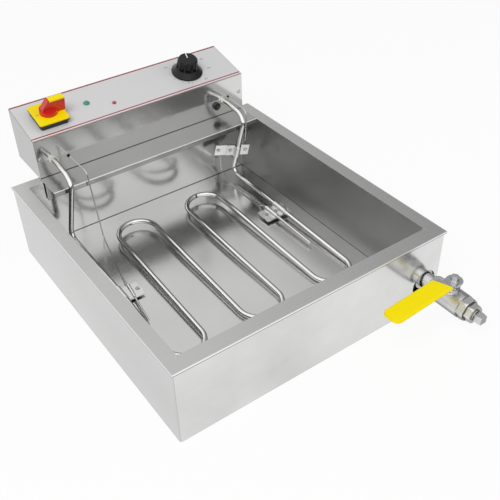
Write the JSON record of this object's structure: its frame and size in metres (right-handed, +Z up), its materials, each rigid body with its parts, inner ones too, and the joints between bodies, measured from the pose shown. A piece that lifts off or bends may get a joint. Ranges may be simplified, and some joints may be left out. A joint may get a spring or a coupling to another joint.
{
  "type": "funnel cake fryer",
  "caption": "Countertop electric funnel cake fryer: shallow stainless tank with a front drain valve and a lift-out control head that carries a serpentine immersion element.",
  "frame": {"origin": "on the table under the middle of the tank, at the underside of the base plate", "axes": "+Z up; -Y towards the operator and along the drain; +Y towards the back, where the control head hangs; +X to the operator's right, the drain's side"},
  "size_m": [0.48, 0.7314, 0.255],
  "materials": {
    "pan_steel": "brushed stainless sheet, bright inside",
    "casing_steel": "brushed stainless sheet",
    "head_steel": "brushed stainless sheet",
    "pipe_steel": "plain stainless pipe",
    "valve_steel": "bead-blasted cast stainless",
    "polished_steel": "polished",
    "lever_steel": "stamped stainless",
    "fitting_steel": "machined stainless",
    "fastener_steel": "plain zinc-bright steel",
    "element_steel": "smooth stainless tube",
    "bracket_steel": "smooth stainless strip",
    "bulb_steel": "drawn stainless",
    "gland_brass": "machined",
    "seat_plastic": "smooth",
    "yellow_sleeve": "soft vinyl, slightly glossy",
    "yellow_plastic": "moulded",
    "red_plastic": "moulded",
    "black_plastic": "moulded",
    "knob_plastic": "moulded, slightly glossy",
    "grey_plastic": "moulded",
    "white_paint": "filled line",
    "printed_overlay": "satin film, pale grey",
    "green_lens": "clear tinted",
    "red_lens": "clear tinted",
    "thermostat_case": "plain plated case",
    "ceramic_block": "glazed"
  },
  "bodies": {
    "tank": {"oil_pan": "pan_steel", "outer_casing": "casing_steel", "base_plate": "casing_steel", "drain_pipe": "pipe_steel", "valve_body": "valve_steel", "valve_end_cap": "valve_steel", "valve_seats": "seat_plastic", "packing_nut": "fastener_steel", "outlet_bushing": "fitting_steel"},
    "valve_handle": {"valve_lever": "lever_steel", "lever_sleeve": "yellow_sleeve", "lever_nut": "fastener_steel", "valve_stem": "valve_steel", "valve_ball": "polished_steel"},
    "plug": {"drain_plug": "fitting_steel"},
    "control_head": {"head_chassis": "head_steel", "front_panel": "head_steel", "back_cover": "head_steel", "mounting_shelf": "head_steel", "panel_overlay": "printed_overlay", "front_screws": "fastener_steel", "cover_screws": "fastener_steel", "element_coil": "element_steel", "element_left_leg": "element_steel", "element_right_leg": "element_steel", "element_glands": "gland_brass", "element_terminals": "fastener_steel", "leg_bracket_plate": "bracket_steel", "leg_bracket_strap": "bracket_steel", "leg_bracket_screws": "fastener_steel", "right_bracket_plate": "bracket_steel", "right_bracket_strap": "bracket_steel", "right_bracket_screws": "fastener_steel", "left_bracket_plate": "bracket_steel", "left_bracket_strap": "bracket_steel", "left_bracket_screws": "fastener_steel", "thermostat_bulb": "bulb_steel", "thermostat_capillary": "bulb_steel", "high_limit_bulb": "bulb_steel", "high_limit_capillary": "bulb_steel", "switch_base": "black_plastic", "switch_plate": "yellow_plastic", "switch_body": "black_plastic", "thermostat_body": "thermostat_case", "green_lamp": "green_lens", "red_lamp": "red_lens", "high_limit_body": "black_plastic", "reset_collar": "black_plastic", "terminal_block": "ceramic_block", "cord_gland": "black_plastic", "gland_nut": "black_plastic"},
    "power_switch": {"switch_handle": "red_plastic", "handle_stripe": "yellow_plastic"},
    "temperature_knob": {"thermostat_knob": "knob_plastic", "knob_pointer": "white_paint"},
    "reset": {"reset_button": "grey_plastic"}
  },
  "joints": [
    {"name": "valve_turn", "type": "hinge", "parent": "tank", "child": "valve_handle", "pos_m": [0.209, -0.308, 0.0865], "axis": [0, 0, 1], "range_deg": [0, 87]},
    {"name": "plug_out", "type": "slide", "parent": "tank", "child": "plug", "axis": [0, -1, 0], "range_m": [0, 0.03]},
    {"name": "head_lift", "type": "slide", "parent": "tank", "child": "control_head", "axis": [0, 0, 1], "range_m": [0, 0.14]},
    {"name": "switch_turn", "type": "hinge", "parent": "control_head", "child": "power_switch", "pos_m": [-0.142, 0.28928, 0.2151], "axis": [0, -0.2376, 0.9714], "range_deg": [-90, 0]},
    {"name": "knob_turn", "type": "hinge", "parent": "control_head", "child": "temperature_knob", "pos_m": [0.132, 0.29463, 0.2164], "axis": [0, -0.2376, 0.9714], "range_deg": [-297, 0]},
    {"name": "reset_push", "type": "slide", "parent": "control_head", "child": "reset", "axis": [0, 1, 0], "range_m": [0, 0.0025], "stiffness_N_per_m": 400, "springref_m": -0.0015}
  ]
}
